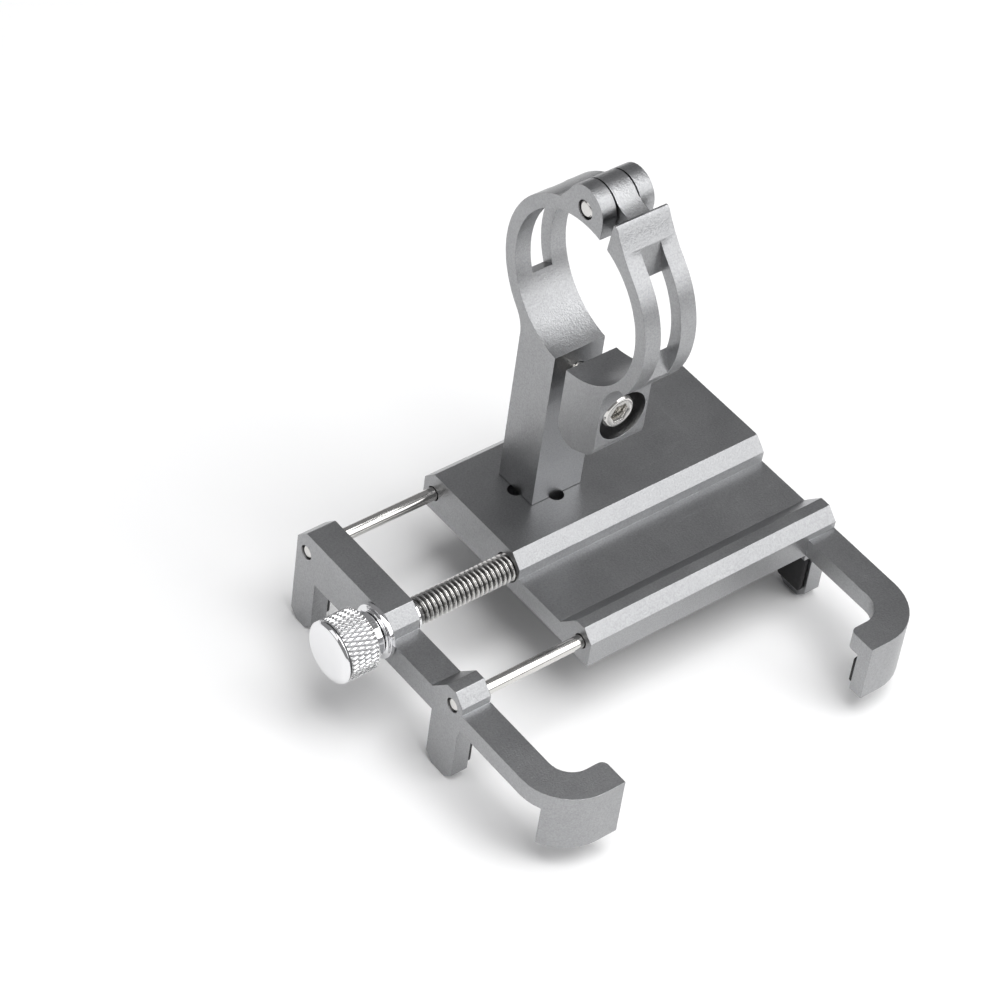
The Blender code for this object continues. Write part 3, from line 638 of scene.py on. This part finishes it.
def clamp_screws(steel):
    """The clamp bolt, head towards -Y, and the countersunk screw under the pillar."""
    low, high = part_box("clamp_bolt")
    rim = (high.x - low.x) / 2
    radius, seat = BOLT_RADIUS, low.y + BOLT_HEAD_HEIGHT
    tip = [(high.y, AXIS_DOT), (high.y, radius - 0.6 * MM),
           (high.y - 0.5 * MM, radius - 0.36 * MM)]
    head = rounded_profile([
        (seat + 0.02 * MM, radius - 0.05 * MM), (seat, rim - 0.05 * MM),
        (seat - 0.15 * MM, rim), (low.y + 0.5 * MM, rim), (low.y, rim - 0.5 * MM),
        (low.y, 2.15 * MM)], 0.2 * MM)
    socket_screw("ring_clamp_bolt", "clamp_bolt", "Y", (tip, head),
                 (seat + 0.05 * MM, high.y - 0.52 * MM, radius), BOLT_PITCH, BOLT_DEPTH,
                 (1.85 * MM, low.y + 0.02 * MM, low.y + 2.1 * MM), steel)
    low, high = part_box("pillar_screw")
    rim, radius = (high.x - low.x) / 2, FOOT_SCREW_RADIUS
    neck = low.z + FOOT_SCREW_HEAD_HEIGHT
    tip = [(high.z, AXIS_DOT), (high.z, radius - 0.5 * MM),
           (high.z - 0.4 * MM, radius - 0.3 * MM)]
    head = rounded_profile([
        (neck + 0.02 * MM, radius - 0.02 * MM), (low.z + 0.25 * MM, rim), (low.z, rim),
        (low.z, 1.35 * MM)], 0.08 * MM)
    socket_screw("pillar_foot_screw", "pillar_screw", "Z", (tip, head),
                 (neck + 0.05 * MM, high.z - 0.42 * MM, radius), FOOT_SCREW_PITCH,
                 FOOT_SCREW_DEPTH, (1.1 * MM, low.z + 0.02 * MM, low.z + 1.1 * MM), steel)


def cut_strip(name, node, finish, corner, edge):
    """A cut strip: rounded-corner outline, with its rim curved in at both faces.

    The outline is the box's edge pulled in by the corner radius and pushed out again along
    the unit circle; the rows go up the thickness, shrinking by 1 - sqrt(1 - t^2) at the rim.
    """
    low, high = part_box(node)
    size = np.array(high - low)
    thin = int(np.argmin(size))
    flat = [i for i in range(3) if i != thin]
    around = 72
    angle = np.linspace(0, 2 * np.pi, around, endpoint=False)
    angle = angle + np.pi / around
    direction = np.stack([np.cos(angle), np.sin(angle)], -1)
    half = size[flat] / 2 - corner
    middle = (np.array(low) + np.array(high)) / 2
    rise = np.sin(np.linspace(-np.pi / 2, np.pi / 2, 9))
    shrink = edge * (1 - np.sqrt(1 - rise ** 2))
    height = rise * edge + np.sign(rise) * (size[thin] / 2 - edge)
    points = []
    for z, inset in zip(height, shrink):
        ring = np.zeros((around, 3))
        outline = np.sign(direction) * half + direction * (corner - inset)
        ring[:, flat] = outline + middle[flat]
        ring[:, thin] = z + middle[thin]
        points.append(ring)
    ends = np.tile(middle, (2, 1))
    ends[0, thin], ends[1, thin] = height[0] + middle[thin], height[-1] + middle[thin]
    make_piece(name, np.concatenate(points + [ends]), tube_faces(len(height), around), node,
               finish, 60.0)


def soft_facings(rubber, foam):
    """Foam strips under the plate and rubber facings inside the claws and hooks."""
    for node in sorted(frame["nodes"]):
        if node.startswith("plate_pad"):
            cut_strip(node.replace("plate_pad", "foam_strip"), node, foam,
                              2.0 * MM, 0.25 * MM)
        elif "_pad_" in node:
            cut_strip(node.replace("_pad_", "_facing_"), node, rubber,
                              0.6 * MM, 0.3 * MM)


# ---------------------------------------------------------------- stage

def add_camera():
    """The camera looks back along the given direction, rolled about its own axis."""
    back = Vector((math.sin(CAMERA_AZIMUTH) * math.cos(CAMERA_ELEVATION),
                   -math.cos(CAMERA_AZIMUTH) * math.cos(CAMERA_ELEVATION),
                   math.sin(CAMERA_ELEVATION)))
    level = Vector((math.cos(CAMERA_AZIMUTH), math.sin(CAMERA_AZIMUTH), 0.0))
    upright = back.cross(level)
    right = math.cos(CAMERA_ROLL) * level + math.sin(CAMERA_ROLL) * upright
    up = back.cross(right)
    camera = bpy.data.objects.new("camera", bpy.data.cameras.new("camera"))
    camera.data.lens = CAMERA_LENS
    camera.data.sensor_width = SENSOR
    camera.data.clip_start = 0.01
    turn = Matrix((right, up, back)).transposed().to_4x4()
    camera.matrix_world = Matrix.Translation(CAMERA_AIM + back * CAMERA_DISTANCE) @ turn
    bpy.context.scene.collection.objects.link(camera)
    bpy.context.scene.camera = camera


def add_softbox(name, direction, distance, width, height, power):
    """A square area light on that bearing from the mount, facing it."""
    light = bpy.data.lights.new(name, "AREA")
    light.shape = "RECTANGLE"
    light.size, light.size_y = width, height
    light.energy = power
    bearing = Vector(direction).normalized()
    lamp = bpy.data.objects.new(name, light)
    lamp.location = Vector((0, 0, 0.04)) + bearing * distance
    lamp.rotation_euler = bearing.to_track_quat("Z", "Y").to_euler()
    bpy.context.scene.collection.objects.link(lamp)


def add_floor():
    """A wide pale floor, in matt paper."""
    mesh = bpy.data.meshes.new("floor")
    reach = 6.0
    mesh.from_pydata([(-reach, -reach, 0), (reach, -reach, 0), (reach, reach, 0),
                      (-reach, reach, 0)], [], [(0, 1, 2, 3)])
    floor = bpy.data.objects.new("floor", mesh)
    bpy.context.scene.collection.objects.link(floor)
    made, _, shader = new_finish("white_paper", 0.0)
    shader.inputs["Base Color"].default_value = (0.93, 0.93, 0.93, 1.0)
    shader.inputs["Roughness"].default_value = 0.9
    shader.inputs["Specular IOR Level"].default_value = 0.1
    mesh.materials.append(made)


def add_surroundings():
    """A grey room for reflections, seen by the camera as plain white."""
    world = bpy.data.worlds.new("studio")
    bpy.context.scene.world = world
    world.use_nodes = True
    tree = world.node_tree
    room = tree.nodes["Background"]
    room.inputs["Color"].default_value = (0.26, 0.26, 0.265, 1.0)
    seen = tree.nodes.new("ShaderNodeBackground")
    seen.inputs["Color"].default_value = (1.0, 1.0, 1.0, 1.0)
    path = tree.nodes.new("ShaderNodeLightPath")
    mix = tree.nodes.new("ShaderNodeMixShader")
    tree.links.new(path.outputs["Is Camera Ray"], mix.inputs[0])
    tree.links.new(room.outputs[0], mix.inputs[1])
    tree.links.new(seen.outputs[0], mix.inputs[2])
    tree.links.new(mix.outputs[0], tree.nodes["World Output"].inputs["Surface"])


def add_studio():
    add_floor()
    add_surroundings()
    add_softbox("key_right", (0.495, -0.70, 0.515), 1.1, 0.8, 0.8, 4.1)
    add_softbox("overhead", (0.08, -0.26, 1.0), 1.3, 1.1, 1.1, 17.0)
    add_softbox("fill_left", (-0.9, 0.35, 0.45), 1.3, 0.7, 0.7, 1.4)
    bpy.context.scene.view_settings.view_transform = "Standard"


def main():
    groups = {"grain": blasted_grain_group(), "marks": hairline_group(),
              "roots": root_shade_group()}
    aluminium = anodised_aluminium(groups)
    chrome = polished_metal("chrome_plate", groups, (0.80, 0.80, 0.81, 1.0),
                            (0.86, 0.86, 0.87, 1.0), 0.05, 0.14, 80.0)
    steel = polished_metal("polished_steel", groups, (0.62, 0.61, 0.59, 1.0),
                           (0.70, 0.69, 0.67, 1.0), 0.12, 0.24, 120.0)
    rubber = black_elastomer("black_rubber", groups, 1400.0, 0.25)
    foam = black_elastomer("black_foam", groups, 2200.0, 0.6)
    aluminium_pieces(aluminium)
    # the dark first colours below are painted shade in the knurl and thread roots
    thumb_knob(chrome, shaded_roots("knurled_chrome", groups, "thumb_knob",
                                    (0.30, 0.30, 0.31, 1.0), (0.97, 0.97, 0.97, 1.0), 0.20,
                                    KNURL_DEPTH))
    lead_screw(chrome, shaded_roots("threaded_chrome", groups, "lead_screw",
                                    (0.04, 0.04, 0.04, 1.0), (0.86, 0.85, 0.83, 1.0), 0.12,
                                    LEAD_DEPTH))
    guide_rods(steel)
    turned_hardware(chrome, steel)
    retaining_clip(chrome)
    clamp_screws(steel)
    soft_facings(rubber, foam)
    add_camera()
    add_studio()


main()
